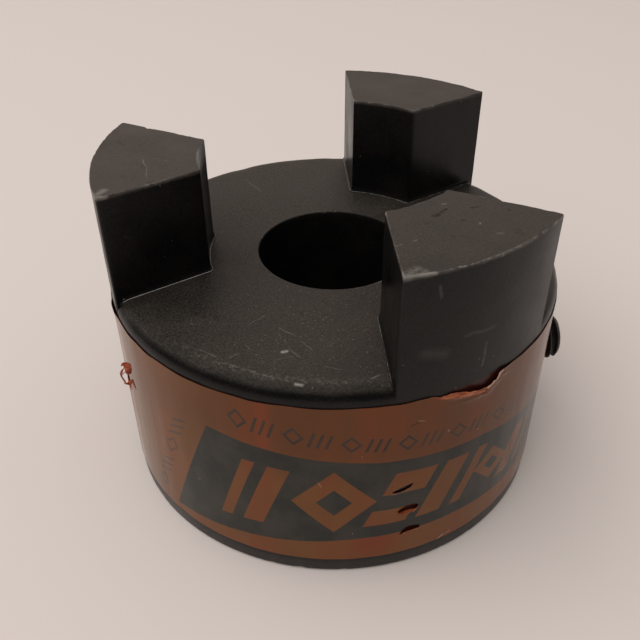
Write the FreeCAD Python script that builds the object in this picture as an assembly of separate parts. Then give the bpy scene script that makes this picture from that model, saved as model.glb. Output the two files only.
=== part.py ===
import FreeCAD, Part
import math
import os

# Jaw coupling hub: a sintered iron hub with three jaws, its set screw and the printed film round it.
# Millimetres and degrees. The origin is on the bore's axis in the base face, +Z runs towards the jaws,
# and +X runs out through the set screw, midway between two jaws.

# Hub body
body_diameter = 84.3
body_length = 42.9
web_edge_radius = 2.5
base_edge_radius = 0.8

# Bore, for a 1 1/8 inch shaft with a 1/4 by 1/8 inch keyway
bore_diameter = 28.575
bore_base_chamfer = 0.5
keyway_width = 6.35
keyway_side_depth = 3.175

# Jaws
jaw_count = 3
first_jaw_angle = 60.0
jaw_height = 20.1
jaw_inner_radius = 23.9
spider_leg_thickness = 11.9
spider_leg_pitch = 60.0
jaw_corner_radius = 0.5
jaw_top_bevel = 0.4
jaw_root_bevel = 0.6

# Set screw, 3/8 inch with 16 threads to the inch, drawn over its crests
screw_diameter = 9.525
screw_length = 15.875
screw_centre_height = 18.9
screw_stands_out = 5.3
screw_end_chamfer = 0.8
screw_socket_flats = 4.7625
screw_socket_depth = 5.4
screw_socket_cone_depth = 1.2
screw_point_diameter = 5.0
screw_cup_diameter = 4.2
screw_cup_depth = 1.2
screw_clearance = 0.05
screw_hole_lead_in = 0.8

# Printed film round the body
film_thickness = 0.15
film_standoff = 0.05
film_base_height = 3.7
film_top_height = 40.0
film_screw_hole_margin = 1.2

# Cuts and tears in the film: each is an outline of angle round the body and height above the base
film_cuts = {
    "upper_slit": (
        (-81.0, 20.15), (-79.3, 20.8), (-77.3, 21.35), (-76.0, 21.4),
        (-77.3, 20.45), (-78.7, 20.0), (-80.3, 19.85),
    ),
    "middle_slit": (
        (-79.4, 14.8), (-78.6, 15.5), (-77.5, 15.95), (-75.6, 16.1),
        (-74.3, 15.7), (-75.6, 14.95), (-77.5, 14.85),
    ),
    "lower_slit": (
        (-78.3, 8.6), (-77.6, 9.7), (-76.5, 10.3), (-75.2, 10.35),
        (-73.3, 9.9), (-75.2, 9.6), (-76.5, 9.55), (-77.6, 9.1),
    ),
    "side_tear": (
        (-162.3, 25.0), (-161.4, 27.6), (-160.0, 28.6), (-158.9, 28.0),
        (-157.6, 25.2), (-158.9, 21.8), (-160.0, 21.0), (-161.4, 22.4),
    ),
    "top_tear": (
        (-71.8, 40.6), (-54.6, 40.6), (-56.0, 39.7), (-57.2, 39.0), (-59.2, 38.2),
        (-60.4, 38.3), (-64.1, 39.0), (-66.4, 39.3), (-70.6, 39.6),
    ),
}

# Worked out from the sizes above
body_radius = body_diameter / 2
bore_radius = bore_diameter / 2
screw_radius = screw_diameter / 2
screw_socket_end = body_radius + screw_stands_out
screw_point_end = screw_socket_end - screw_length
film_inner_radius = body_radius + film_standoff
film_outer_radius = film_inner_radius + film_thickness

up = FreeCAD.Vector(0, 0, 1)
outward = FreeCAD.Vector(1, 0, 0)
origin = FreeCAD.Vector(0, 0, 0)
cut_overrun = 1.0
same_place = 0.001


def polar(radius, angle, height=0.0):
    """Point at a radius and an angle round the bore's axis."""
    turn = math.radians(angle)
    return FreeCAD.Vector(radius * math.cos(turn), radius * math.sin(turn), height)


def flank_angle(radius):
    """Angle from a jaw's centre line to its flank at a radius.

    The flank is flat and parallel to the middle plane of the spider leg beside it, so that a leg of
    even thickness lies flat between it and the jaw of the mating hub.
    """
    return spider_leg_pitch / 2 - math.degrees(math.asin(spider_leg_thickness / 2 / radius))


def jaw(centre_angle):
    """One jaw from below the web's rounded edge to its flat top: inner arc, two flanks, outer arc."""
    inner = flank_angle(jaw_inner_radius)
    outer = flank_angle(body_radius)
    start = body_length - web_edge_radius
    corners = [
        polar(jaw_inner_radius, -inner, start),
        polar(body_radius, -outer, start),
        polar(body_radius, outer, start),
        polar(jaw_inner_radius, inner, start),
    ]
    outer_arc = Part.Arc(corners[1], polar(body_radius, 0, start), corners[2])
    inner_arc = Part.Arc(corners[3], polar(jaw_inner_radius, 0, start), corners[0])
    outline = Part.Wire([
        Part.LineSegment(corners[0], corners[1]).toShape(),
        outer_arc.toShape(),
        Part.LineSegment(corners[2], corners[3]).toShape(),
        inner_arc.toShape(),
    ])
    prism = Part.Face(outline).extrude(up * (jaw_height + web_edge_radius))
    upright = [edge for edge in prism.Edges if is_upright(edge)]
    prism = prism.makeFillet(jaw_corner_radius, upright)
    top = body_length + jaw_height
    rim = [edge for edge in prism.Edges if lies_at_height(edge, top)]
    prism = prism.makeChamfer(jaw_top_bevel, rim)
    prism.rotate(origin, up, centre_angle)
    return prism


def is_upright(edge):
    """True for a straight edge along Z."""
    ends = edge.BoundBox
    return ends.ZLength > same_place and max(ends.XLength, ends.YLength) < same_place


def lies_at_height(edge, height):
    """True for an edge whose whole length is at a height."""
    ends = edge.BoundBox
    return abs(ends.ZMin - height) < same_place and abs(ends.ZMax - height) < same_place


def is_jaw_root(edge):
    """True for the edges at web level where a jaw's flanks and inner arc stand on the web."""
    if not lies_at_height(edge, body_length):
        return False
    middle = edge.valueAt((edge.FirstParameter + edge.LastParameter) / 2)
    web_rim_radius = body_radius - web_edge_radius
    return bore_radius < math.hypot(middle.x, middle.y) < web_rim_radius - same_place


def body():
    """Round body with its web's edge and its base's edge rounded."""
    disc = Part.makeCylinder(body_radius, body_length, origin, up)
    web_rim = [edge for edge in disc.Edges if lies_at_height(edge, body_length)]
    disc = disc.makeFillet(web_edge_radius, web_rim)
    base_rim = [edge for edge in disc.Edges if lies_at_height(edge, 0.0)]
    return disc.makeFillet(base_edge_radius, base_rim)


def shaft_bore():
    """Through bore, its lead-in at the base and the keyway in line with the set screw."""
    hole = Part.makeCylinder(bore_radius, body_length + 2 * cut_overrun, origin - up * cut_overrun, up)
    lead_in = Part.makeCone(bore_radius + bore_base_chamfer, bore_radius, bore_base_chamfer, origin, up)
    side_wall_start = math.sqrt(bore_radius ** 2 - (keyway_width / 2) ** 2)
    keyway = Part.makeBox(
        side_wall_start + keyway_side_depth,
        keyway_width,
        body_length + 2 * cut_overrun,
        FreeCAD.Vector(0, -keyway_width / 2, -cut_overrun),
    )
    return hole.fuse([lead_in, keyway])


def screw_hole():
    """Radial hole from the keyway to the outside, with a short countersink at its mouth."""
    radius = screw_radius + screw_clearance
    start = FreeCAD.Vector(bore_radius / 2, 0, screw_centre_height)
    hole = Part.makeCylinder(radius, body_radius, start, outward)
    mouth = FreeCAD.Vector(body_radius - screw_hole_lead_in, 0, screw_centre_height)
    lead_in = Part.makeCone(radius, radius + screw_hole_lead_in, screw_hole_lead_in, mouth, outward)
    return hole.fuse(lead_in)


def hub():
    """The hub in one piece: body, jaws, bore, keyway and the hole for the set screw."""
    jaws = [jaw(first_jaw_angle + number * 360.0 / jaw_count) for number in range(jaw_count)]
    solid = body().fuse(jaws).removeSplitter()
    roots = [edge for edge in solid.Edges if is_jaw_root(edge)]
    solid = solid.makeChamfer(jaw_root_bevel, roots)
    return solid.cut([shaft_bore(), screw_hole()])


def set_screw():
    """Set screw along +X: chamfered socket end, body drawn over the thread's crests, cup point."""
    profile = [
        (screw_socket_end, 0.0),
        (screw_socket_end, screw_radius - screw_end_chamfer),
        (screw_socket_end - screw_end_chamfer, screw_radius),
        (screw_point_end + screw_radius - screw_point_diameter / 2, screw_radius),
        (screw_point_end, screw_point_diameter / 2),
        (screw_point_end, screw_cup_diameter / 2),
        (screw_point_end + screw_cup_depth, 0.0),
    ]
    points = [FreeCAD.Vector(along, 0, screw_centre_height + radius) for along, radius in profile]
    face = Part.Face(Part.makePolygon(points + points[:1]))
    axis_point = FreeCAD.Vector(0, 0, screw_centre_height)
    turned = face.revolve(axis_point, outward, 360)
    corner_radius = screw_socket_flats / 2 / math.cos(math.radians(30))
    mouth = FreeCAD.Vector(screw_socket_end, 0, screw_centre_height)
    corners = [
        mouth + FreeCAD.Vector(
            0,
            corner_radius * math.cos(math.radians(60 * corner)),
            corner_radius * math.sin(math.radians(60 * corner)),
        )
        for corner in range(7)
    ]
    socket = Part.Face(Part.makePolygon(corners)).extrude(outward * -screw_socket_depth)
    drilled_end = Part.makeCone(
        screw_socket_flats / 2,
        0,
        screw_socket_cone_depth,
        mouth - outward * screw_socket_depth,
        outward * -1,
    )
    return turned.cut([socket, drilled_end])


def film_sleeve():
    """Thin printed film round the body, with its hole for the set screw, its slits and its tears."""
    height = film_top_height - film_base_height
    foot = up * film_base_height
    sleeve = Part.makeCylinder(film_outer_radius, height, foot, up)
    sleeve = sleeve.cut(Part.makeCylinder(film_inner_radius, height, foot, up))
    centre = FreeCAD.Vector(bore_radius, 0, screw_centre_height)
    screw_opening = Part.makeCylinder(screw_radius + film_screw_hole_margin, body_radius, centre, outward)
    tools = [screw_opening] + [film_cut(outline) for outline in film_cuts.values()]
    return sleeve.cut(tools)


def film_cut(outline):
    """Tool for one cut in the film: its outline at the film's surface, carried in and out radially."""
    middle_angle = sum(angle for angle, height in outline) / len(outline)
    points = []
    for angle, height in outline:
        along = film_outer_radius * math.tan(math.radians(angle - middle_angle))
        points.append(FreeCAD.Vector(film_inner_radius - 2 * cut_overrun, along, height))
    face = Part.Face(Part.makePolygon(points + points[:1]))
    tool = face.extrude(outward * 4 * cut_overrun)
    tool.rotate(origin, up, middle_angle)
    return tool


pieces = {
    "hub": hub(),
    "set_screw": set_screw(),
    "film_sleeve": film_sleeve(),
}

os.makedirs("parts", exist_ok=True)
for name, shape in pieces.items():
    solid = shape.Solids[0]
    solid.exportStep(f"parts/{name}.step")
    box = solid.BoundBox
    print(name, len(shape.Solids), solid.isValid(), round(solid.Volume, 2), box)
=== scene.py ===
import inspect
import math

import bpy
import numpy as np
from mathutils import Matrix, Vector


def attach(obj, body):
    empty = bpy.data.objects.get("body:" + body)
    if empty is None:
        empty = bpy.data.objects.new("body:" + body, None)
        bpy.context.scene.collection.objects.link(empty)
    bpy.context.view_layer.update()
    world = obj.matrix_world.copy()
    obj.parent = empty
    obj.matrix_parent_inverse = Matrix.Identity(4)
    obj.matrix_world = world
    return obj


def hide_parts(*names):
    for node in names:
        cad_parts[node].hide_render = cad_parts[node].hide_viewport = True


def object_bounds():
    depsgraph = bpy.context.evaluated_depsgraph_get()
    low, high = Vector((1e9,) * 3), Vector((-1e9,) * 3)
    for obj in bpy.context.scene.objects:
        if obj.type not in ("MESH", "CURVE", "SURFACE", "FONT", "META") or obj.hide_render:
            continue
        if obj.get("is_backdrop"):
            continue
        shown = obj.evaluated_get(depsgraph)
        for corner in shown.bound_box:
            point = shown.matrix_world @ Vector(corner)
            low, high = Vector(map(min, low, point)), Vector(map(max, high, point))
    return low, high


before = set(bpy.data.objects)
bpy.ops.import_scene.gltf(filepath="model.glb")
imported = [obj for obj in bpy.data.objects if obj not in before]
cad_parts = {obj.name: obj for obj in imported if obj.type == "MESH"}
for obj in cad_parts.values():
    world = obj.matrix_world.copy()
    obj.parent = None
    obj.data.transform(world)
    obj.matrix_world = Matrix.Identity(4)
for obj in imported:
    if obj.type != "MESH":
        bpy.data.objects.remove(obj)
cad_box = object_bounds()

# Hub body: the round lower part of one pressed and sintered iron hub, steam-blackened all over.
# It is turned true on its rim, its web's edge is rolled over softly, and its bore, keyway and screw
# hole are cut last. Lengths are in millimetres here and become metres as each mesh is made.
MM = 0.001
body_radius = 42.15
body_length = 42.9
web_edge_radius = 2.5
base_edge_radius = 0.8
bore_radius = 14.2875
bore_base_chamfer = 0.5
bore_web_chamfer = 0.15
keyway_width = 6.35
keyway_floor = 17.105
web_reach = 41.9
screw_height = 18.9
screw_hole_radius = 4.8125


def rounded_noise(*coordinates, scale, seed, waves=24):
    """Smooth noise: sine waves of random directions and phases, with wavelengths about the scale."""
    draw = np.random.default_rng(seed)
    total = 0
    for _ in range(waves):
        pitch = 2 * math.pi / (scale * draw.uniform(0.6, 1.8))
        way = draw.normal(size=len(coordinates))
        way = way / np.linalg.norm(way) * pitch
        phase = draw.uniform(0, 2 * math.pi)
        total = total + np.sin(sum(w * c for w, c in zip(way, coordinates)) + phase)
    return total / math.sqrt(waves / 2)


def full_turn(count):
    """Angles once round in radians, evenly spaced."""
    return np.linspace(0, 2 * np.pi, count, endpoint=False)


def around(radius, turn, *height):
    """Points at a radius and a turn in radians round Z, in plan or with a height."""
    return np.stack(np.broadcast_arrays(radius * np.cos(turn), radius * np.sin(turn), *height), -1)


def grid_faces(rows, columns, rows_close=False, columns_close=True):
    """Quads of a grid of points, which may close on itself either way."""
    number = np.arange(rows * columns).reshape(rows, columns)
    number = np.pad(number, ((0, int(rows_close)), (0, int(columns_close))), mode="wrap")
    return np.stack([number[:-1, :-1], number[:-1, 1:], number[1:, 1:], number[1:, :-1]], -1).reshape(-1, 4)


def ring_faces(rows, columns, start=0):
    """Faces of a stack of rings and of a cap at each end, with points numbered from a start."""
    faces = (grid_faces(rows, columns) + start).tolist()
    last = start + (rows - 1) * columns
    return faces + [list(range(start, start + columns))[::-1], list(range(last, last + columns))]


def mesh_piece(name, points, faces):
    """Mesh object at the origin, from points in millimetres and faces."""
    mesh = bpy.data.meshes.new(name)
    mesh.from_pydata((np.reshape(points, (-1, 3)) * MM).tolist(), [], faces)
    mesh.update()
    piece = bpy.data.objects.new(name, mesh)
    bpy.context.scene.collection.objects.link(piece)
    return piece


def edge_arc(radius, height, start, steps):
    """Quarter arc at the rim, as radius and height, from its centre's height and its first angle."""
    return (body_radius - radius, height) + around(radius, np.radians(np.linspace(start, start + 90, steps)))


def turned_body(columns=480):
    """Closed section carried round Z: base, base edge, rim, rolled web edge, web, bore."""
    base_arc = edge_arc(base_edge_radius, base_edge_radius, -90, 6)
    web_arc = edge_arc(web_edge_radius, body_length - web_edge_radius, 0, 10)
    bore = [(bore_radius + bore_web_chamfer, body_length), (bore_radius, body_length - bore_web_chamfer),
            (bore_radius, bore_base_chamfer), (bore_radius + bore_base_chamfer, 0)]
    corners = np.concatenate([bore[3:], base_arc, web_arc, bore])
    counts = (8, *[1] * 5, 12, *[1] * 9, 26, 2, 14, 2)
    section = np.concatenate([np.linspace(start, end, count, endpoint=False)
                              for start, end, count in zip(corners, corners[1:], counts)])
    turn = full_turn(columns)
    radius, height = section[:, :1], section[:, 1:]
    # The rolled edge and the base edge are a little uneven, from pressing and handling
    rolled = np.exp(-(np.hypot(radius - 40.9, height - 42.1) / 1.6) ** 2)
    rim = around(40, turn).T
    height = height - 0.05 * rolled * np.maximum(rounded_noise(*rim, scale=7, seed=3), -0.4)
    low = np.exp(-(np.hypot(radius - 42, height) / 0.7) ** 2)
    radius = radius - 0.16 * low * np.maximum(rounded_noise(*rim, scale=3, seed=5) - 1, 0)
    faces = grid_faces(len(section), columns, rows_close=True)
    return mesh_piece("hub_body", around(radius, turn, height), faces.tolist())


hub = turned_body()

# Jaws: three upright jaws pressed in one with the body. The outer face follows the rim, the inner face
# is an arc round the bore, and the flanks lie flat against the legs of the elastic spider. Edges are
# worn round unevenly, corners are chipped, and the press leaves a fine burr along each root.
jaw_top = 63
jaw_inner_radius = 23.9
jaw_outer_radius = 42.153
leg_half = 5.95
jaw_angles = (60, 180, 300)
# Chips in the jaws' top edges, in each jaw's own plan: x, y, size and reach
jaw_chips = {
    60: ((24.6, -6, 0.5, 0.8), (41, -13, 0.35, 1)),
    180: ((41.6, 14.6, 0.9, 1.5), (33.4, -13, 0.85, 0.9), (30.6, -11.9, 0.8, 0.6),
            (28.4, -10.6, 0.7, 0.5), (24.1, 1.5, 0.3, 3.4)),
    300: ((41.6, -15, 1, 1.5), (34, -14, 0.3, 0.8)),
}
# The root's flare and its burr, as offset outwards and rise over the web
jaw_root = ((0.85, -0.75), (0.62, -0.12), (0.44, 0.06), (0.37, 0.13), (0.3, 0.2), (0.2, 0.32), (0.07, 0.62),
            (0, 1.1))


def flank_angle(radius):
    """Angle from a jaw's middle to its flank at a radius, in radians: 30 degrees less the leg's share."""
    return math.radians(30) - np.arcsin(leg_half / radius)


def jaw_outline(count=220):
    """Plan of a jaw pointing along +X, anticlockwise from above, as evenly spaced points and normals.

    A moving average rounds its corners.
    """
    radii = np.linspace(jaw_inner_radius, jaw_outer_radius, 900)
    across = flank_angle(radii)
    outer = np.linspace(-across[-1], across[-1], 1600)
    inner = np.linspace(across[0], -across[0], 650)
    sides = [around(radii, -across), around(jaw_outer_radius, outer),
             around(radii, across)[::-1], around(jaw_inner_radius, inner)]
    path = np.concatenate([side[:-1] for side in sides])
    window = 41
    wrapped = np.concatenate([path[-window:], path, path[:window]])
    kernel = np.ones(window) / window
    smooth = np.stack([np.convolve(line, kernel, "same") for line in wrapped.T], 1)[window:-window]
    closed = np.concatenate([smooth, smooth[:1]])
    along = np.concatenate([[0], np.cumsum(np.linalg.norm(np.diff(closed, axis=0), axis=1))])
    at = np.linspace(0, along[-1], count, endpoint=False)
    points = np.stack([np.interp(at, along, line) for line in closed.T], 1)
    tangent = np.roll(points, -1, 0) - np.roll(points, 1, 0)
    tangent /= np.linalg.norm(tangent, axis=1)[:, None]
    return points, np.stack([tangent[:, 1], -tangent[:, 0]], 1)


def web_surface(radius):
    """Height of the web at a radius, falling over the rolled edge as far as it is followed."""
    edge_start = body_radius - web_edge_radius
    over = np.clip(radius, edge_start, web_reach) - edge_start
    return body_length - web_edge_radius + np.sqrt(web_edge_radius ** 2 - over ** 2)


def turned(plan, degrees):
    """Points in plan, turned anticlockwise round Z."""
    cosine, sine = math.cos(math.radians(degrees)), math.sin(math.radians(degrees))
    return plan @ np.array([[cosine, sine], [-sine, cosine]])


def worn_jaw(angle, seed):
    """One jaw: its plan carried up in rows, flared at the root, rounded and chipped at the top edge.

    Each row is the plan moved along its normal, at a height. The top shrinks towards its middle.
    """
    plan, normal = jaw_outline()
    radius = np.hypot(*plan.T)
    flared = np.clip((41.6 - radius) / 1.2, 0, 1)
    root = web_surface(radius)
    worn = 0.17 + 0.07 * rounded_noise(*plan.T, scale=5, seed=seed)
    worn = np.clip(worn + 0.05 * rounded_noise(*plan.T, scale=1.3, seed=seed + 1), 0.08, 0.5)
    rough = 1 + 0.3 * rounded_noise(*plan.T, scale=0.9, seed=seed + 2)
    for x, y, size, reach in jaw_chips[angle]:
        near = np.hypot(plan[:, 0] - x, plan[:, 1] - y) / reach
        worn = np.clip(size * rough * np.exp(-near ** 2), worn, 0.88)
    start = root + 1.1
    rows = [(-0.7, 36.4), (0, 37.4)]
    rows += [(offset * flared, root + rise) for offset, rise in jaw_root]
    rows += [(0, start + (jaw_top - 0.9 - start) * share) for share in np.linspace(0.07, 1, 14)]
    rows += [(-worn * (1 - np.cos(turn)), jaw_top - worn * (1 - np.sin(turn)))
             for turn in np.radians([0, 18, 36, 54, 72, 90])]
    levels = [(plan + normal * np.broadcast_to(offset, len(plan))[:, None], height)
              for offset, height in rows]
    inner_plan = plan - normal * worn[:, None]
    middle = np.array([32.6, 0])
    levels += [(middle + (inner_plan - middle) * shrink, jaw_top)
               for shrink in (0.985, 0.96, 0.92, 0.84, 0.72, 0.58, 0.42, 0.26, 0.1)]
    rings = np.array([np.column_stack([flat, np.broadcast_to(height, len(plan))]) for flat, height in levels])
    wavy = 0.012 * rounded_noise(*np.moveaxis(rings, -1, 0), scale=6, seed=seed + 3)
    on_wall = (rings[..., 2] > 44.5) & (rings[..., 2] < 62.9)
    rings[..., :2] = turned(rings[..., :2] + normal * (wavy * on_wall)[..., None], angle)
    return mesh_piece(f"jaw_{angle:.0f}", rings, ring_faces(*rings.shape[:2]))


def rings_along_x(name, profile, columns=96):
    """Closed form round the set screw's axis, from a profile of places along X and radii."""
    turn = full_turn(columns)
    rings = [(np.broadcast_to(along, columns), *around(radius, turn).T) for along, radius in profile]
    points = np.moveaxis(rings, 1, -1) + (0, 0, screw_height)
    return mesh_piece(name, points, ring_faces(len(rings), columns))


def cut_or_join(piece, tools, operation):
    """Joins tools to a piece, or cuts them from it, with a Boolean modifier each."""
    for tool in tools:
        boolean = piece.modifiers.new(tool.name, "BOOLEAN")
        boolean.operation = operation
        boolean.solver = "MANIFOLD"
        boolean.object = tool


def keep_result(piece, helpers=()):
    """Keeps the result of a piece's modifiers as its mesh, and takes the helpers away."""
    shape = piece.evaluated_get(bpy.context.evaluated_depsgraph_get())
    mesh = bpy.data.meshes.new_from_object(shape)
    piece.modifiers.clear()
    piece.data = mesh
    for helper in helpers:
        bpy.data.objects.remove(helper)


def smooth_apart_from(piece, sharp_angle):
    """Shades a piece smoothly, but for edges sharper than an angle in degrees."""
    piece.data.shade_smooth()
    piece.data.set_sharp_from_angle(angle=math.radians(sharp_angle))


jaws = [worn_jaw(angle, seed) for angle, seed in zip(jaw_angles, (21, 31, 41))]
hole = rings_along_x("screw_hole", ((9, screw_hole_radius), (body_radius - 0.75, screw_hole_radius),
                                    (body_radius + 0.4, screw_hole_radius + 1.15)))
keyway_plan = ((0, -0.5), (keyway_floor, -0.5), (keyway_floor, 0.5), (0, 0.5))
keyway = mesh_piece("keyway", [(x, y * keyway_width, z) for z in (-1, 44) for x, y in keyway_plan],
                    ring_faces(2, 4))
cut_or_join(hub, jaws, "UNION")
cut_or_join(hub, [keyway, hole], "DIFFERENCE")
keep_result(hub, jaws + [keyway, hole])
hub.name = hub.data.name = "iron_hub"
smooth_apart_from(hub, 32)


def operator(operation, swap=False):
    """Operator of a wire: a Math node with its values in order, or the other way round."""
    return lambda *values: maths(operation, *(values[::-1] if swap else values))


class Wire:
    """Output of a node. Arithmetic between wires, or with numbers, adds Math nodes to their tree."""

    def __init__(self, socket):
        self.socket = socket
        self.tree = socket.id_data

    __add__ = operator("ADD")
    __sub__ = operator("SUBTRACT")
    __rsub__ = operator("SUBTRACT", swap=True)
    __mul__ = operator("MULTIPLY")
    __truediv__ = operator("DIVIDE")
    __rtruediv__ = operator("DIVIDE", swap=True)
    __lt__ = operator("LESS_THAN")
    __abs__ = operator("ABSOLUTE")

    def held(self):
        """Itself, held between 0 and 1 by its Math node."""
        self.socket.node.use_clamp = True
        return self


def fill(socket, value):
    """Links a wire to an input, or gives it a plain value; None leaves it as it is."""
    if isinstance(value, Wire):
        value.tree.links.new(value.socket, socket)
    elif value is not None:
        socket.default_value = (*value, 1) if socket.type == "RGBA" else value


def add(tree, kind, *values, **settings):
    """Adds a node with its settings and its inputs in order, and gives its outputs by name."""
    made = tree.nodes.new("ShaderNode" + kind)
    for setting, value in settings.items():
        setattr(made, setting, value)
    for socket, value in zip(made.inputs, values):
        fill(socket, value)
    return {socket.name: Wire(socket) for socket in made.outputs}


def maths(operation, *values):
    """One Math node, in the tree of its wires."""
    tree = next(value.tree for value in values if isinstance(value, Wire))
    return add(tree, "Math", *values, operation=operation)["Value"]


def most(masks):
    """Highest of several masks."""
    top = masks[0]
    for mask in masks[1:]:
        top = maths("MAXIMUM", top, mask)
    return top


def vector(operation, first, second=None, scale=None):
    """One Vector Math node; a distance, a length and a dot product are values."""
    made = add(first.tree, "VectorMath", first, second, None, scale, operation=operation)
    return made["Value" if operation in ("DISTANCE", "LENGTH", "DOT_PRODUCT") else "Vector"]


def combine(x, y):
    """Flat place from two values."""
    return add(x.tree, "CombineXYZ", x, y, 0)["Vector"]


def noise(place, scale, detail, roughness, output="Fac"):
    """Noise at a place."""
    return add(place.tree, "TexNoise", place, 0, scale, detail, roughness)[output]


def step(*values):
    """Smooth step of a value from low to high, giving 0 to 1, or a start to an end."""
    return add(values[0].tree, "MapRange", *values, interpolation_type="SMOOTHSTEP")["Result"]


def paint_over(colour, *coats):
    """A colour with coats over it in order, each as its share and its colour."""
    for share, paint in coats:
        made = share.tree.nodes.new("ShaderNodeMix")
        made.data_type = "RGBA"
        sockets = {socket.identifier: socket for socket in (*made.inputs, *made.outputs)}
        for name, value in (("Factor_Float", share), ("A_Color", colour), ("B_Color", paint)):
            fill(sockets[name], value)
        colour = Wire(sockets["Result_Color"])
    return colour


def effect_group(*outputs):
    """Turns a function into a shader node group, whose inputs are the function's arguments.

    Places, starts and ends are vectors, and all else is a value. The function gives the outputs in order.
    """
    def build(effect):
        inputs = [name.replace("_", " ").title() for name in inspect.signature(effect).parameters]
        group = bpy.data.node_groups.new(effect.__name__, "ShaderNodeTree")
        for way, labels in (("INPUT", inputs), ("OUTPUT", outputs)):
            for label in labels:
                kind = "NodeSocketVector" if label in ("Place", "Start", "End") else "NodeSocketFloat"
                group.interface.new_socket(label, in_out=way, socket_type=kind)
        given = [Wire(socket) for socket in group.nodes.new("NodeGroupInput").outputs[:len(inputs)]]
        for socket, wire in zip(group.nodes.new("NodeGroupOutput").inputs, effect(*given)):
            fill(socket, wire)
        return group
    return build


def use(group, *values):
    """Adds a group to the tree of its place, with its inputs in order."""
    return add(values[0].tree, "Group", *values, node_tree=group)


@effect_group("Height", "Flecks", "Tone")
def pressed_grain(place, grain_size, pit_size):
    """Grain of pressed powder: fine noise and small pits as a height, fine flecks, a slow tone."""
    fine = noise(place, 1 / grain_size, 3, 0.6)
    pits = add(place.tree, "TexVoronoi", place, 0, 1 / pit_size)["Distance"]
    return fine * 0.6 + step(pits, 0.12, 0.34) * 0.4, fine, noise(place, 110, 4, 0.55)


@effect_group("Mask")
def dust_specks(place, spacing, spot_share, filled_share):
    """Light specks: small round spots at random points of cells, of which few are filled."""
    bent = vector("ADD", place, vector("SCALE", noise(place, 900, 1, 0.5, "Color"), scale=0.0003))
    cells = add(place.tree, "TexVoronoi", bent, 0, 1 / spacing)
    drawn = add(place.tree, "SeparateColor", cells["Color"])
    spot = cells["Distance"] < spot_share * (drawn["Green"] + 0.35)
    return [spot * (drawn["Red"] < filled_share)]


@effect_group("Place", "Breaks")
def uneven_place(place):
    """Place shifted a little by noise, which makes lines wander, and a noise that breaks them up."""
    wander = vector("SUBTRACT", noise(place, 420, 1, 0.5, "Color"), (0.5, 0.5, 0.5))
    return vector("ADD", place, vector("SCALE", wander, scale=0.0006)), noise(place, 1400, 2, 0.6)


@effect_group("Mask")
def scratch_mark(place, start, end, width, strength, below):
    """One scratch over those below it: its strength at the line from start to end, 0 at its width."""
    line = vector("SUBTRACT", end, start)
    from_start = vector("SUBTRACT", place, start)
    share = (vector("DOT_PRODUCT", from_start, line) / vector("DOT_PRODUCT", line, line)).held()
    away = vector("DISTANCE", from_start, vector("SCALE", line, scale=share))
    return [most([(1 - away / width).held() * strength, below])]


@effect_group("Mask")
def worn_edge(place, wear, amount):
    """Wear along an edge: the piece's wear mark, broken up by noise into bright bits."""
    return [step(wear * amount + (noise(place, 900, 3, 0.65) - 0.5), 0.28, 0.5)]


def scratches(here, gaps, marks):
    """Mask of scratches, each as start, end, width and strength, in millimetres."""
    uneven = use(uneven_place, here)
    mask = 0
    for start, end, width, strength in marks:
        ends = np.multiply((start, end), MM)
        mask = use(scratch_mark, uneven["Place"], *ends, width * MM, strength, mask)["Mask"]
    return mask * step(uneven["Breaks"], gaps - 0.08, gaps)


def vertex_places(piece):
    """Places of a piece's vertices, in millimetres."""
    places = np.empty(len(piece.data.vertices) * 3)
    piece.data.vertices.foreach_get("co", places)
    return places.reshape(-1, 3) / MM


def write_mark(piece, name, values):
    """Writes a number for each vertex as a named attribute."""
    mark = piece.data.attributes.new(name, "FLOAT", "POINT")
    mark.data.foreach_set("value", values.astype(np.float32))


# Bright places on the jaws' top edges: x, y, reach and strength
jaw_bright = {
    60: ((24, 6, 2, 0.7), (24, -6, 2, 0.7), (41.5, 14.8, 2, 0.7)),
    180: ((24, 0.8, 4.2, 1), (41, 14.8, 2.6, 1.2), (32, -13.5, 3, 0.9), (33, 11, 5, 0.6)),
    300: ((41.5, -14.8, 3.8, 1.7), (42.1, 0, 13, 0.66), (24, -6.2, 1.5, 0.8)),
}
# Strength of the burr at each jaw's root: clockwise flank, other flank, inner arc
jaw_burr = {60: (0.45, 0.5, 0.55), 180: (0.45, 1, 0.75), 300: (0.55, 0.4, 0.5)}


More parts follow.
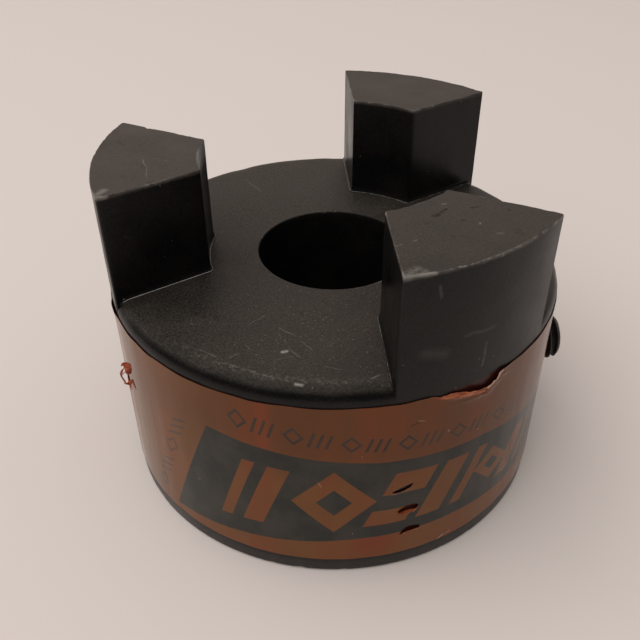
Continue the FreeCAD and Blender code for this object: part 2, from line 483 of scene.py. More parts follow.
def mark_wear(piece):
    """Writes two marks at each vertex: wear along the jaws' top edges, and burr along their roots.

    The distance to a jaw's plan and the height below its top, or above the web, find them.
    """
    places = vertex_places(piece)
    height = places[:, 2]
    radius = np.hypot(*places[:, :2].T)
    wear = np.maximum(0.3 * np.exp(-(np.hypot(radius - bore_radius, height - body_length) / 0.3) ** 2),
                      0.4 * np.exp(-(np.hypot(radius - 41.9, height - 0.3) / 0.6) ** 2))
    burr = np.zeros(len(places))
    plan = jaw_outline()[0]
    for angle in jaw_angles:
        x, y = turned(places[:, :2], -angle).T
        near = np.nonzero((x > 21) & (np.abs(y) < 18) & (height > 40))[0]
        x, y = x[near], y[near]
        away = np.hypot(x[:, None] - plan[:, 0], y[:, None] - plan[:, 1]).min(1)
        below = jaw_top - height[near]
        strength = 0.36 + 0.12 * rounded_noise(x, y, scale=4, seed=81)
        for bright_x, bright_y, reach, gain in jaw_bright[angle]:
            to_spot = np.hypot(x - bright_x, y - bright_y)
            strength = np.maximum(strength, gain * np.exp(-(to_spot / reach) ** 2))
            if gain > 1:
                patch = 0.62 * gain * np.exp(-(np.hypot(to_spot, below) / (0.42 * reach)) ** 2)
                wear[near] = np.maximum(wear[near], patch)
        top_edge = strength * np.exp(-(np.hypot(away, below) / 0.3) ** 2)
        wear[near] = np.maximum(wear[near], top_edge)
        rise = height[near] - web_surface(radius[near])
        lip = np.exp(-((rise - 0.13) / 0.05) ** 2) * (away > 0.15) * (away < 0.55)
        clockwise, other, arc = jaw_burr[angle]
        force = np.where(np.hypot(x, y) < jaw_inner_radius + 0.2, arc, np.where(y < 0, clockwise, other))
        burr[near] = np.maximum(burr[near], lip * force)
    write_mark(piece, "wear", wear)
    write_mark(piece, "burr", burr)


mark_wear(hub)

# Scratches in the iron, by the heights of both ends: start, end, width and strength
iron_scratches = {
    (42.9, 42.9): ((-15.8, -23.5, -13.3, -21.4, 0.14, 0.26), (-10.9, -25, -8.5, -27.3, 0.14, 0.3),
        (-8.5, -27.3, -5.9, -31.2, 0.13, 0.28), (-11.2, -26.2, -9.4, -30.2, 0.13, 0.22),
        (-10.6, -31.5, -10, -31.3, 0.46, 1), (-9.4, -31, -7.8, -33, 0.13, 0.3),
        (-12.2, -33.4, -9.2, -32.6, 0.13, 0.22), (-4.6, -28.2, -2.2, -29.8, 0.12, 0.2),
        (-23.9, -29.8, -19.7, -32.7, 0.18, 0.34), (-19.7, -32.7, -17.4, -31, 0.15, 0.34),
        (-19.9, -33.4, -15, -35.9, 0.17, 0.36), (-16.6, -29, -15.9, -30.4, 0.12, 0.26),
        (-4.3, -35.4, -1.6, -36.3, 0.12, 0.24), (-26.5, -21.8, -25.4, -23, 0.11, 0.35),
        (-17, 30.5, -13.8, 24.6, 0.3, 0.14), (5.4, -13.3, 7.7, -12.2, 0.34, 0.45),
        (2.8, -14.1, 5.4, -13.3, 0.3, 0.32)),
    (42.85, 42.85): ((-15.6, -35.9, -11.8, -37.7, 0.15, 0.36), (2.6, -38.9, 4.3, -38, 0.18, 0.4)),
    (42.8, 42.8): ((-8.8, -39.1, -8, -39.4, 0.4, 0.8),),
    (42.9, 43): ((-38.2, -16.3, -37.4, -15.4, 0.28, 0.7),),
    (43.1, 43.4): ((-37.9, -15.1, -36.9, -14, 0.12, 0.7),),
    (63, 63): ((-33.4, -1.6, -32.2, -4.6, 0.14, 0.36), (-32.2, -4.6, -32, -8.4, 0.13, 0.34),
        (-31.6, -1, -28.8, -2.6, 0.12, 0.3), (-34, 12.6, -31.6, 12.6, 0.34, 0.8),
        (6.4, -41.2, 8.2, -39.7, 1.1, 0.26), (8, -40.9, 9.2, -40.4, 0.8, 0.22),
        (15.1, -21.6, 15.6, -21.5, 0.26, 0.4), (19.4, -28.3, 19.5, -28, 0.2, 0.6),
        (21.6, -31.1, 22.2, -31, 0.42, 0.18), (6.2, -33.5, 6.9, -33.2, 0.18, 0.4),
        (8.8, -32.4, 9.4, -32, 0.2, 0.4), (-39, -13.8, -38.2, -12.7, 0.95, 0.42)),
    (62.8, 62.9): ((6.6, -41.2, 10.6, -40.8, 0.34, 0.7),),
    (62.9, 62.9): ((14, -39.6, 15, -39.3, 0.2, 0.6), (-38.9, -14.8, -37.4, -14.9, 0.55, 0.6)),
    (60.6, 58.6): ((11.5, -40.6, 11.7, -40.5, 0.36, 0.11),),
    (47.2, 43): ((20.4, -36.9, 20.25, -37, 0.34, 0.17),),
    (50.4, 49.8): ((16.6, -38.9, 21.6, -36.3, 0.55, 0.08),),
    (49, 48): ((10.2, -40.9, 13.2, -40.1, 1.5, 0.06),),
}
# Dark oily spots on the right jaw's top, in the same way
dark_spots = {
    (63, 63): ((13.2, -25.2, 13.9, -24.8, 0.55, 1), (14.5, -24.2, 15.4, -23.2, 0.36, 1),
        (19.7, -23, 20.3, -22.8, 0.42, 1), (24.8, -24.4, 25.1, -24.1, 0.3, 0.9),
        (17.1, -26.9, 17.5, -26.7, 0.22, 0.9), (11.6, -27.6, 12.2, -27.2, 0.22, 0.9),
        (11.9, -23.6, 12.3, -23.1, 0.22, 0.9)),
}
# Places on the rim under the film that are painted dark red, with their reach
red_remnants = (((9.9, -41, 12.3), 5), ((20.4, -36.9, 39), 6.5), ((-39.6, -14.4, 39.6), 4.5))
# Ring where the web rolls over: dust and rubbed metal, and a painted highlight along it
ridge_radius = 39.3
ridge_half_width = 1.1


def level_marks(table):
    """Scratches as start, end, width and strength, from a table by the heights of both ends."""
    return [((x0, y0, low), (x1, y1, high), width, strength)
            for (low, high), rows in table.items() for x0, y0, x1, y1, width, strength in rows]


def new_material(name):
    """Node material, its Principled shader and the place in the object's own coordinates."""
    made = bpy.data.materials.new(name)
    made.use_nodes = True
    tree = made.node_tree
    return made, tree.nodes["Principled BSDF"], add(tree, "TexCoord")["Object"]


def feed(shader, colour, roughness, specular, height=None, strength=0, depth=0):
    """Feeds the Principled shader; a height goes in through a bump of a strength and a depth."""
    fill(shader.inputs["Base Color"], colour)
    fill(shader.inputs["Roughness"], roughness)
    shader.inputs["Specular IOR Level"].default_value = specular
    if height is not None:
        bump = add(height.tree, "Bump", strength, depth, None, height)
        fill(shader.inputs["Normal"], bump["Normal"])


def attribute(tree, name):
    """A mark written on the mesh."""
    return add(tree, "Attribute", attribute_name=name)["Fac"]


def make_sintered_iron():
    """Steam-blackened iron: near-black, wandering in tone, with grain, pits, specks, scratches, wear and
    painted light.
    """
    made, shader, here = new_material("sintered_iron")
    tree = here.tree
    here_mm = vector("SCALE", here, scale=1 / MM)
    x, y, height = add(tree, "SeparateXYZ", here_mm).values()
    powder = use(pressed_grain, here, 0.00034, 0.0011)
    tone = step(powder["Tone"], 0.3, 0.7)
    facing_up = step(add(tree, "SeparateXYZ", add(tree, "NewGeometry")["Normal"])["Z"], 0.55, 0.95)
    on_top = step(height, jaw_top - 0.8, jaw_top - 0.2)
    on_web = (step(height, body_length - 1.7, body_length - 0.3) * facing_up
              * step(height, body_length + 3.1, body_length + 1.1))
    # Painted light and shade: the walls are painted darkest, as shade, and the web and the jaws' tops
    # lighter, as light from above and behind. The walls are also lighter towards the base, and the left jaw's
    # top is lighter than the others.
    body = paint_over((0.0026, 0.0024, 0.0026), (tone, (0.0058, 0.005, 0.0045)),
                      (step(height, 4, 2), (0.0185, 0.015, 0.0125)))
    web = paint_over((0.0215, 0.0182, 0.0153), (tone, (0.0345, 0.0288, 0.024)))
    top = paint_over((0.0255, 0.0212, 0.0182), (tone, (0.04, 0.0322, 0.0275)),
                     (step(x, -18, -26) * 0.5, (0.052, 0.042, 0.035)))
    stain = step(noise(here, 260, 3, 0.6), 0.64, 0.72) * 0.45
    # Painted shade on the web beside the left jaw, where the jaw shades it.
    beside_left_jaw = step(vector("DISTANCE", here_mm, (-21.5, -4.5, 42.9)), 13, 3) * 0.35 * on_web
    oily = step(scratches(here, 0.49, level_marks(dark_spots)), 0, 0.3, 0, 0.9)
    colour = paint_over(body, (on_web, web), (on_top, top), (stain, (0.008, 0.0068, 0.0062)),
                        (beside_left_jaw, (0.01, 0.0085, 0.0075)), (oily, (0.0055, 0.0035, 0.0032)))
    flecks = step(powder["Flecks"], 0.32, 0.68, -0.48, 0.52) * (on_top * -0.6 + 1) + 1
    colour = vector("SCALE", colour, scale=flecks)

    crowded = step(vector("DISTANCE", here_mm, (-6, -31, 43)), 24, 3) * on_web
    dust = most([use(dust_specks, here, spacing, share, crowded * crowd + few)["Mask"]
                 for spacing, share, crowd, few in ((0.0016, 0.065, 0.4, 0.07), (0.0007, 0.135, 0.7, 0.02))])
    radius = vector("LENGTH", combine(x, y))
    # The ridge is partly dust and rubbed metal and partly a painted highlight, shown at the front only.
    ridge = (1 - abs(radius - ridge_radius) / ridge_half_width).held()
    ridge_noise = step(noise(here, 1500, 3, 0.8), 0.47, 0.64)
    in_front = step(vector("DISTANCE", here_mm, (-14, -36, 43)), 26, 8)
    wear = attribute(tree, "wear")
    burr = attribute(tree, "burr")
    edges = use(worn_edge, here, wear, 0.75)["Mask"]
    soft_edge = step(wear, 0.14, 0.6) * 0.26
    roots = step(noise(here, 600, 3, 0.7) * 1.3 + burr, 0.85, 1.35)
    under_film = step(height, 40.4, 39.8) * step(radius, 41.8, 42)
    remnants = most([step(vector("DISTANCE", here_mm, spot), reach, 0.8 * reach)
                     for spot, reach in red_remnants])
    colour = paint_over(
        colour,
        (crowded * 0.22, (0.055, 0.045, 0.036)),
        (ridge * ridge_noise * in_front * 0.55, (0.14, 0.122, 0.108)),
        (dust * 0.75, (0.145, 0.126, 0.11)),
        (scratches(here, 0.4, level_marks(iron_scratches)), (0.3, 0.275, 0.25)),
        (most([edges * 0.6, soft_edge]), (0.21, 0.19, 0.17)),
        (roots * (burr * 1.1).held(), (0.3, 0.28, 0.26)),
        (remnants * under_film, (0.03, 0.006, 0.004)),
    )
    rough = step(powder["Tone"], 0.25, 0.75, 0.26, 0.4) + facing_up * 0.15
    feed(shader, colour, rough, 0.21, powder["Height"], 0.35, 0.00006)
    return made


hub.data.materials.clear()
hub.data.materials.append(make_sintered_iron())
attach(hub, "hub")
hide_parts("hub")

# Set screw: a black-oxide socket set screw, 3/8 inch with 16 threads to the inch, rolled thread.
# It is driven in through the rim over the keyway, and stands out where it isn't yet tightened.
screw_radius = 4.7625
thread_pitch = 1.5875
thread_depth = 0.86
screw_tip = 31.575
screw_end = 47.45
socket_flats = 4.7625


def threaded_screw(columns=96, rows_per_pitch=12):
    """Screw along +X, in rings whose radius falls to the thread's root where the helix says.

    It falls as a flattened triangle of the helix's phase, and is held under both ends' chamfers.
    """
    turn = full_turn(columns)
    count = int((screw_end - screw_tip) / thread_pitch * rows_per_pitch)
    along = np.linspace(screw_tip, screw_end, count)[:, None]
    phase = (along / thread_pitch - turn / (2 * np.pi) - 0.11) % 1
    flank = np.clip((np.abs(phase - 0.5) * 2 - 0.16) / 0.68, 0, 1)
    radius = screw_radius - thread_depth * (1 - flank)
    radius = np.minimum(radius, 2.5 + along - screw_tip)
    radius = np.minimum(radius, screw_radius - 0.8 + screw_end - along)
    hexagon = socket_flats / 2 / np.cos((turn + np.pi / 6) % (np.pi / 3) - np.pi / 6)
    cup = ((1.2, 0.05), (0.02, 2.1), (0, 2.25))
    socket = ((0, hexagon + 0.25), (0.12, hexagon + 0.04), (0.5, hexagon), (2.5, hexagon), (5.4, hexagon),
              (5.4, 2.3), (6.6, 0.05))
    return rings_along_x("threaded_set_screw", [
        *[(screw_tip + deep, ring) for deep, ring in cup], *zip(along, radius),
        *[(screw_end - deep, ring) for deep, ring in socket]], columns)


screw = threaded_screw()
smooth_apart_from(screw, 38)


def make_black_oxide():
    """Black oxide on steel: near-black, a little oily, rubbed brighter at its crests and its mouth."""
    made, shader, here = new_material("black_oxide_steel")
    powder = use(pressed_grain, here, 0.00016, 0.0007)
    rubbed = use(worn_edge, here, attribute(here.tree, "crest"), 0.62)["Mask"]
    dust = use(dust_specks, here, 0.0012, 0.08, 0.1)["Mask"]
    colour = paint_over((0.011, 0.0088, 0.0082), (step(powder["Tone"], 0.3, 0.7), (0.019, 0.0155, 0.0142)),
                        (rubbed * 0.35, (0.1, 0.09, 0.082)), (dust, (0.16, 0.15, 0.14)))
    feed(shader, colour, step(powder["Tone"], 0.25, 0.75, 0.38, 0.5), 0.2, powder["Height"], 0.25, 0.00003)
    return made


def mark_crests(piece):
    """Writes how near each vertex lies to the screw's full radius, or to its socket's mouth."""
    x, y, z = vertex_places(piece).T
    radius = np.hypot(y, z - screw_height)
    crest = np.exp(-((screw_radius - radius) / 0.12) ** 2)
    mouth = np.exp(-(np.hypot(x - screw_end, radius - socket_flats / 2 - 0.2) / 0.4) ** 2)
    write_mark(piece, "crest", np.maximum(crest, mouth))


mark_crests(screw)
screw.data.materials.append(make_black_oxide())
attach(screw, "set_screw")
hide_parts("set_screw")

# Film: a glossy copper-brown plastic film wound once round the rim, printed with a dark panel.
# It is about a tenth of a millimetre thick, laps over itself at the back and is cut for the set screw.
# It is slit three times at the front, torn at its top edge and at its left side, and red on its inside.
film_inner = 42.24
film_thickness = 0.1
film_foot = 3.7
film_top = 40
film_first_angle = -270
film_last_angle = 98
lap_start = 84
lap_end = 89
pair_heights = (9, 15, 20.7)
# Each opening: row pair, reach of the rows that give way, how far its lower lip stands out and how red
# it is, and its outline as angle, lower height and upper height
screw_gap = np.linspace(-8, 8, 33)
screw_gap_height = 5.96 * np.sqrt(1 - (screw_gap / 8) ** 2)
film_openings = {
    "lower_slit": (0, 2.5, 0.55, 1, (
        (-78.4, 8.6, 8.6), (-77.7, 9.1, 9.6), (-76.6, 9.6, 10.3), (-75.3, 9.7, 10.35), (-73.8, 9.65, 10.05),
        (-73.3, 9.75, 9.75))),
    "middle_slit": (1, 2.6, 0.75, 1, (
        (-79.4, 14.8, 14.8), (-78.7, 14.75, 15.45), (-77.6, 14.85, 15.92), (-75.8, 14.95, 16.05),
        (-74.8, 15.2, 15.92), (-74.3, 15.6, 15.6))),
    "upper_slit": (2, 2.6, 0.1, 0, (
        (-81.1, 20.1, 20.1), (-80.4, 19.9, 20.4), (-79.3, 19.93, 20.78), (-78.3, 20.12, 21.02),
        (-77.3, 20.45, 21.3), (-76.5, 20.7, 21.42), (-75.9, 21.35, 21.35))),
    "side_tear": (2, 9, 0.25, 0.9, (
        (-160.9, 25.6, 25.6), (-160.3, 23.4, 27.8), (-159.5, 22.4, 29), (-158.6, 23.6, 28.2),
        (-157.9, 25, 26.6), (-157.5, 25.8, 25.8))),
    "screw_opening": (2, 13, 0, 0, np.column_stack(
        [screw_gap, screw_height - screw_gap_height, screw_height + screw_gap_height])),
}
torn_edge = (
    (-74, 40), (-71.8, 39.72), (-70.6, 39.5), (-68.9, 39.8), (-66.4, 39.3), (-64.1, 39), (-61.5, 38.55),
    (-60.4, 38.3), (-59.2, 38.2), (-58.6, 38.4), (-57.2, 39), (-56, 39.7), (-54.6, 40),
)


def smooth_step(value, low, high):
    """0 below low, 1 above high, and a smooth cubic between them."""
    share = np.clip((value - low) / (high - low), 0, 1)
    return share * share * (3 - 2 * share)


def bump_between(value, low, high, soft):
    """1 between low and high, falling smoothly to 0 over a soft length on both sides."""
    return smooth_step(value, low - soft, low) * (1 - smooth_step(value, high, high + soft))


def film_columns():
    """Angles round the film, packed closer at the openings and the torn edge."""
    fine = np.linspace(film_first_angle, film_last_angle, 20001)
    density = np.full_like(fine, 1 / 1.1)
    for low, high, spacing in ((-82, -72.5, 0.16), (-168, -152, 0.3), (-10, 10, 0.35), (-72.5, -53, 0.22)):
        density = np.maximum(density, bump_between(fine, low, high, 2) / spacing)
    total = np.concatenate([[0], np.cumsum((density[1:] + density[:-1]) / 2 * np.diff(fine))])
    return np.interp(np.linspace(0, total[-1], int(total[-1]) + 1), total, fine)


def film_levels(gap, lip_rows):
    """Heights of the film's rows: evenly spaced, with a pair and the rows of a lip at each pair height."""
    own = {h: [h + gap, *(h - gap - row for row in lip_rows)] for h in pair_heights}
    levels = np.unique(np.round(np.concatenate([
        np.linspace(film_foot, film_top, 34),
        *[[*rows, h + 0.4] for h, rows in own.items()],
        np.linspace(37.2, film_top, 15),
    ]), 4))
    for h, rows in own.items():
        inside = (levels > h - 1.5) & (levels < h + 0.35)
        levels = levels[~(inside & (np.min(np.abs(levels[:, None] - rows), axis=1) > 1e-3))]
    return levels


def film_sheet():
    """Film as a grid of angle and height, one skin, before it gets its thickness.

    Rows start level. At an opening the two rows of its pair go to its edges, and the rows beside them
    give way less and less. A lower lip bends outwards: its rows turn from upright to level. The top row
    follows the torn edge.
    """
    angle = film_columns()
    gap = 0.02
    levels = film_levels(gap, (0, 0.22, 0.45, 0.7, 1, 1.4))
    a, z = np.meshgrid(angle, levels)
    radius = np.full_like(z, film_inner + film_thickness)
    curl = np.zeros_like(z)
    holes = np.zeros((len(levels) - 1, len(angle) - 1), bool)
    for pair, reach, lip, redness, outline in film_openings.values():
        at, lower, upper = np.array(outline).T
        low = np.interp(angle, at, lower)
        high = np.interp(angle, at, upper)
        base = pair_heights[pair]
        near = bump_between(angle, at[0], at[-1], 9)
        away = levels[:, None] - base
        give = np.clip(1 - np.abs(away) / reach, 0, 1)
        z += np.where(away > 0, high - base, low - base) * near * give
        row = int(np.argmin(np.abs(levels - (base - gap))))
        inside = (angle[1:] > at[0]) & (angle[:-1] < at[-1])
        holes[row] |= inside & ((high - low)[1:] + (high - low)[:-1] > 0.1)
        share = np.clip((angle - at[0]) / (at[-1] - at[0]), 0, 1)
        bent = (4 * share * (1 - share)) ** 0.4 * (away < 0)
        below = np.clip(-away / 0.75, 0, None)
        radius += lip * bent * np.clip(1 - below, 0, 1)
        level_out = 0.72 * np.where(below < 1, below, np.clip(1 - (below - 1) / 2.5, 0, 1))
        z += lip * bent * level_out
        fades = 1.3 + 1.2 * (redness < 0.6)
        curl = np.maximum(curl, redness * bent * (1 - smooth_step(below, 0.9, fades)))
    torn = bump_between(angle, -71, -57, 2.5)
    edge = np.interp(angle, *np.array(torn_edge).T) + 0.05 * rounded_noise(angle, scale=9, seed=74)
    edge = edge + 0.05 * torn * rounded_noise(angle, scale=2.2, seed=73)
    z += (edge - film_top) * smooth_step(levels, 34, film_top)[:, None]
    below_edge = edge - z
    bulge = smooth_step(angle, -73, -61) * (1 - smooth_step(angle, -58, -51))
    folds = rounded_noise(a * 0.16, z * 1.9 + a * 0.2, scale=1.7, seed=75)
    radius += bulge * (1 - smooth_step(below_edge, 0, 3.2)) * (0.5 + 0.13 * folds)
    band_edge = 1.35 * smooth_step(angle, -76, -66) * (1 - smooth_step(angle, -61, -59))
    curl = np.maximum(curl, 0.8 * smooth_step(band_edge - below_edge, -0.15, 0.35) * (band_edge > 0.1))
    curl = np.maximum(curl, 2 * bump_between(angle, -59.2, -55, 0.8) * (below_edge < 0.5))
    lifted = bump_between(angle, -163.5, -160.5, 3.5)
    radius += 0.26 * lifted * (1 - smooth_step(below_edge, 0, 2.6))
    radius += 0.018 * rounded_noise(a * 0.75, z * 0.12, scale=6, seed=76)
    radius += (film_thickness + 0.05) * smooth_step(a, lap_start, lap_end)
    return around(radius, np.radians(a), z), a, z, curl, holes


def wound_film():
    """Film as a mesh, with its curl mark and its print map, thickened inwards and marked on its inside.

    The print map holds the length along the film over 100 mm, and the share of the panel's height.
    """
    points, angle, height, curl, holes = film_sheet()
    quads = grid_faces(*height.shape, columns_close=False)
    made = mesh_piece("printed_film", points, quads[~holes.reshape(-1)].tolist())
    write_mark(made, "curl", curl.reshape(-1))
    panel_top = np.interp(angle, [-124, -101, -84, -58, -35], [31.4, 29.2, 27.8, 26.7, 23.3])
    panel_foot = np.interp(angle, [-138, -115, -90, -64, -46], [5.4, 7.5, 9.2, 9.6, 8.8])
    along = np.radians(angle + 131) * body_radius / 100
    across = (height - panel_foot) / (panel_top - panel_foot)
    corner = np.empty(len(made.data.loops), np.int32)
    made.data.loops.foreach_get("vertex_index", corner)
    print_map = made.data.uv_layers.new(name="print")
    print_map.data.foreach_set("uv", np.stack([along, across], -1).reshape(-1, 2)[corner].reshape(-1))
    thicken = made.modifiers.new("film_thickness", "SOLIDIFY")
    thicken.thickness = film_thickness * MM
    thicken.offset = -1
    keep_result(made)
    smooth_apart_from(made, 50)
    write_mark(made, "inside", np.arange(len(made.data.vertices)) >= height.size)
    return made


film = wound_film()

# Shreds: thin strips of the film torn out at its left side, still joined to it, curling off the rim.
# They show the film's red back. Each is a centre line in one upright plane through the bore's axis:
# radius, height, how far it comes forward, and half its width.
shred_plane = math.radians(-154)
film_shreds = (
    ((43.92, 31.62, 0, 0.06), (43.55, 32.05, 0.1, 0.34), (43.1, 31.75, 0.5, 0.7),
     (42.85, 31.05, 0.8, 0.86), (42.7, 30.3, 0.7, 0.74), (42.5, 29.6, 0.3, 0.34)),
    ((43.2, 31.2, 0, 0.12), (43.68, 30.8, 0, 0.14), (44.02, 30.55, 0.1, 0.2), (44.22, 30.1, 0.1, 0.22),
     (44.18, 29.38, 0, 0.15), (44, 28.62, 0, 0.14), (43.78, 27.8, 0.1, 0.18)),
    ((43.98, 29.62, 0, 0.08), (43.78, 29.92, 0, 0.1), (43.45, 30.02, 0, 0.1), (42.95, 29.92, 0, 0.08)),
    ((43.95, 27.9, 0.1, 0.12), (43.68, 27.46, 0.2, 0.32), (43.25, 27.36, 0.3, 0.44),
     (42.85, 27.62, 0.3, 0.38), (42.5, 28, 0.2, 0.18)),
    ((43.35, 27.6, 0.2, 0.14), (43.1, 27, 0.2, 0.12), (42.95, 26.55, 0.2, 0.05)),
    ((42.5, 28.45, 0.6, 0.1), (42.5, 27.95, 0.7, 0.16), (42.46, 27.4, 0.9, 0.15), (42.42, 26.9, 1.2, 0.1),
     (42.38, 26.55, 1.5, 0.05)),
)


def torn_shreds(steps=28, round_steps=10):
    """Closed strips swept along their centre lines: a flat ellipse, bowed and a little twisted.

    Each ring's point = centre + half width times cosine in the wide direction + half thickness times
    sine, less the bow, in the thick direction.
    """
    forward = around(1, shred_plane + math.pi / 2, 0)
    sides = np.array([around(1, shred_plane, 0), [0, 0, 1], forward])
    turn = -full_turn(round_steps)[:, None]
    points = []
    faces = []
    for number, knots in enumerate(film_shreds):
        at = np.linspace(0, len(knots) - 1, steps)
        line = np.stack([np.interp(at, np.arange(len(knots)), values) for values in np.transpose(knots)], 1)
        padded = np.pad(line, ((2, 2), (0, 0)), mode="edge")
        line = sum(padded[k:k + steps] for k in range(5)) / 5
        centre = line[:, :3] @ sides
        tangent = np.gradient(centre, axis=0)
        tangent /= np.linalg.norm(tangent, axis=1)[:, None]
        wide = np.cross(tangent, forward)
        wide /= np.linalg.norm(wide, axis=1)[:, None]
        thick = np.cross(wide, tangent)
        twist = 0.5 * np.sin(at * 1.7 + number)
        cosine, sine = np.cos(twist), np.sin(twist)
        wide, thick = np.einsum("jkn,kni->jni", [[cosine, sine], [-sine, cosine]], [wide, thick])
        half_width = line[:, None, 3:]
        points.append(centre[:, None] + np.cos(turn) * half_width * wide[:, None]
                      + (0.06 * np.sin(turn) - 0.35 * np.cos(turn) ** 2 * half_width) * thick[:, None])
        faces += ring_faces(steps, round_steps, number * steps * round_steps)
    return mesh_piece("film_shreds", points, faces)


shreds = torn_shreds()
shreds.data.shade_smooth()


def band(value, low, high, soft=0.08):
    """1 between a low and a high value, with soft sides."""
    return step(value, low - soft, low + soft) * step(value, high - soft, high + soft, 1, 0)


def motif_row(along, across):
    """Printed row: in each cell of 9.2 mm an open lozenge and three slanted strokes, 3.2 mm high."""
    cell = maths("FRACT", along / 9.2) * 9.2
    lozenge = band(abs(cell - 2.1) + abs(across), 1.15, 1.75, 0.06)
    leaning = cell - across * 0.35
    strokes = most([band(leaning, low, low + 0.5, 0.06) for low in (4.7, 6.1, 7.5)])
    return most([lozenge, strokes * band(across, -1.5, 1.5, 0.06)])


# Creases and nicks in the film: start and end as angle and height, width in millimetres. The light lines are
# partly painted highlights, such as the glint at the nick's edge.
dark_creases = (
    ((-159.4, 38.9), (-157.4, 36.2), 0.55), ((-159.3, 33.4), (-158.7, 30.2), 0.85),
    ((-158.9, 24), (-157.6, 21.8), 0.55), ((-77.8, 34.9), (-76.2, 35.4), 0.22),
    ((-60.8, 11.3), (-60.2, 11), 0.26),
)
light_creases = (
    ((-76.3, 35.75), (-74.9, 35.4), 0.13), ((-67.6, 3.9), (-66.2, 4.4), 0.24),
    ((-65.2, 4.5), (-64.2, 4.7), 0.16), ((-81.4, 19.7), (-80.2, 19.45), 0.12),
    ((-48.5, 12.2), (-45.5, 13.6), 0.14), ((-47, 11.4), (-44, 12.6), 0.1),
    ((-98, 24), (-97.2, 22.6), 0.1), ((-88.4, 29.6), (-87.9, 28.6), 0.1),
)


def crease_mask(here, creases):
    """Mask of creases in the film's outside."""
    outside = film_inner + film_thickness
    return scratches(here, 0.36, [
        (*[around(outside, np.radians(angle), height) for angle, height in ends], width, 1)
        for *ends, width in creases])


def make_printed_film():
    """Glossy copper-brown film, streaked up its height, with a dark printed panel.

    Bars and lozenges are left open in the panel, and a row and a column of plain marks stand beside
    it. The film is red where it bends back and on its inside. Its thin top edge is painted dark, as
    painted shade in the gap to the hub.
    """
    made, shader, here = new_material("printed_film")
    tree = here.tree
    printed = add(tree, "SeparateXYZ", add(tree, "UVMap", uv_map="print")["UV"])
    along, across = printed["X"] * 100, printed["Y"]
    height = (across - 0.5) * 19
    streak_place = combine(along * 0.16, height * 0.012)
    patch = noise(here, 75, 2, 0.5)
    red_share = most([
        step(noise(streak_place, 0.7, 4, 0.5) + patch * 0.5, 0.66, 0.98, 0, 0.6),
        band(along, 14.2, 16.6, 1.4) * step(height, 4, 12),
        step(vector("DISTANCE", combine(along, height), (34, -11, 0)), 8, 1),
    ])
    upper = step(height, 2, 12, 0, 0.75) * step(along, -8, 12, 0.2, 1)
    base = paint_over((0.142, 0.053, 0.015), (upper, (0.09, 0.028, 0.0085)),
                      (step(patch, 0.55, 0.35, 0, 0.3), (0.085, 0.033, 0.0115)),
                      (red_share, (0.155, 0.034, 0.01)))

    lean = along - height * 0.42
    bars = [band(lean, low, high) * band(height, -reach, reach) for low, high, reach in (
        (9, 11.2, 6.2), (13.4, 17.2, 6.2), (44, 48.6, 6.4), (50.8, 53, 6.4), (62, 66, 6.2),
        (68.2, 70.2, 6.2))]
    lozenges = [band(abs(along - centre) + abs(height), size * 0.42, size)
                for centre, size in ((27, 7.2), (57.6, 4.6))]
    strip = band(lean, 34.6, 42.2) * most([band(height, 1.2, 6.4), band(height, -6.4, -2.6)])
    slant = across * 10.4
    panel = band(along, slant - 5.15, slant + 74) * band(across, 0, 1, 0.005)
    row = motif_row(along, height - 13.5) * band(along, 9, 72.8)
    column = motif_row(height, along - height * 0.55 + 5.4) * band(height, -8.6, 8.2)
    dark = most([panel * (1 - most([*bars, *lozenges, strip])), row * 0.85, column * 0.6])
    ink_tone = step(noise(here, 160, 4, 0.6), 0.35, 0.65)
    ink = paint_over((0.019, 0.019, 0.0165), (ink_tone, (0.033, 0.029, 0.0235)))

    dust = use(dust_specks, here, 0.003, 0.045, 0.3)["Mask"]
    curl = attribute(tree, "curl")
    curled = step(curl, 0.1, 0.9)
    flat = (1 - curled).held()
    crumpled = noise(combine(along * 0.5, along * 0.25 + height * 2.6), 1, 3, 0.55)
    back = paint_over((0.17, 0.036, 0.013), (step(crumpled, 0.38, 0.62), (0.38, 0.115, 0.045)))
    # Faces that look up, the film's thin top edge, are painted dark: painted shade for the gap between the
    # film and the hub.
    upright = add(tree, "SeparateXYZ", add(tree, "NewGeometry")["True Normal"])["Z"]
    colour = paint_over(
        base,
        (dark, ink),
        (dust * 0.55, (0.32, 0.24, 0.19)),
        (crease_mask(here, dark_creases) * 0.85, (0.01, 0.007, 0.006)),
        # Light creases, partly painted highlights.
        (crease_mask(here, light_creases) * 0.6, (0.45, 0.33, 0.26)),
        (curled, back),
        (step(curl, 1.2, 1.9), (0.46, 0.27, 0.2)),
        (attribute(tree, "inside") * flat, (0.3, 0.045, 0.018)),
        (step(upright, 0.6, 0.9) * flat * 0.85, (0.022, 0.01, 0.007)),
    )
    wrinkle = crumpled * curled * 0.5 + noise(streak_place, 2.4, 3, 0.5)
    feed(shader, colour, step(patch, 0.3, 0.7, 0.13, 0.24), 0.2, wrinkle, 0.14, 0.0004)
    return made


def make_film_back():
    """Back of the film, seen on its torn shreds: red to orange, mottled where it is stretched."""
    made, shader, here = new_material("film_back")
    mottle = noise(here, 1500, 3, 0.6)
    colour = paint_over((0.22, 0.03, 0.01), (step(mottle, 0.35, 0.65), (0.4, 0.095, 0.04)))
    feed(shader, colour, step(mottle, 0.3, 0.7, 0.35, 0.5), 0.3)
    return made


film.data.materials.append(make_printed_film())
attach(film, "hub")
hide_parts("film_sleeve")
shreds.data.materials.append(make_film_back())
shreds.visible_glossy = False
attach(shreds, "hub")

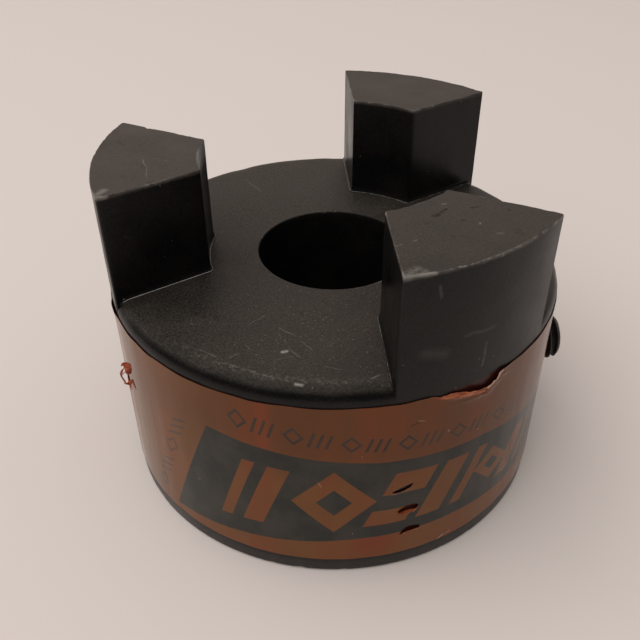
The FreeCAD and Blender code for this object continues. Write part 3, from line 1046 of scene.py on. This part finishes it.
# Table top: the plain pale sheet that the hub stands on. It isn't part of the object.
# It is so large that it fills the photograph's view to its edges.
corners = [(x * 4000, y * 4000, 0) for x, y in ((-1, -1), (1, -1), (1, 1), (-1, 1))]
floor = mesh_piece("table_top", corners, [(0, 1, 2, 3)])
table, shader = new_material("pale_table")[:2]
feed(shader, (0.68, 0.612, 0.575), 0.6, 0.2)
floor.data.materials.append(table)
floor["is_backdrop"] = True

# Light: one soft panel high above the hub, to its left and in front, and a pale room all round.
# The camera stands at the photograph's viewpoint, in front of the hub and above it.
lamp = bpy.data.lights.new("ceiling_panel", "AREA")
lamp.shape = "RECTANGLE"
lamp.size = 1.8
lamp.size_y = 1.6
lamp.energy = 15
lamp.color = (1, 0.985, 0.965)
ceiling = bpy.data.objects.new("ceiling_panel", lamp)
ceiling.location = (-0.65, -0.3, 1.25)
ceiling.rotation_euler = (-ceiling.location).to_track_quat("-Z", "Y").to_euler()
ceiling.visible_glossy = False
bpy.context.scene.collection.objects.link(ceiling)


def make_pale_room():
    """World: a pale room, a little darker at the right. Gloss sees it bright only behind the hub."""
    room = bpy.data.worlds.new("pale_room")
    room.use_nodes = True
    tree = room.node_tree
    way = add(tree, "SeparateXYZ", add(tree, "TexCoord")["Generated"])
    mirrored = paint_over((0.1, 0.095, 0.09), (step(way["Y"], 0, 0.85), (0.8, 0.68, 0.6)))
    walls = paint_over((0.66, 0.634, 0.617), (step(way["X"], -1, 1), (0.52, 0.498, 0.485)))
    path = add(tree, "LightPath")
    seen = paint_over(walls, (path["Is Glossy Ray"], mirrored), (path["Is Camera Ray"], (0.64, 0.585, 0.545)))
    fill(tree.nodes["Background"].inputs["Color"], seen)
    return room


bpy.context.scene.world = make_pale_room()

camera_data = bpy.data.cameras.new("viewpoint")
camera_data.sensor_fit = "HORIZONTAL"
camera_data.sensor_width = 36
camera_data.lens = 36 * 770.52 / 640
camera_data.clip_start = 0.01
camera = bpy.data.objects.new("viewpoint", camera_data)
right = (0.99772, -0.06726, -0.00572)
up = (0.04459, 0.59316, 0.80385)
back = (-0.05067, -0.80227, 0.59481)
standpoint = (-0.010658, -0.127057, 0.119856)
camera.matrix_world = Matrix([*zip(right, up, back, standpoint), (0, 0, 0, 1)])
bpy.context.scene.collection.objects.link(camera)
bpy.context.scene.camera = camera

bpy.context.scene.view_settings.view_transform = "Standard"

visual_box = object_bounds()
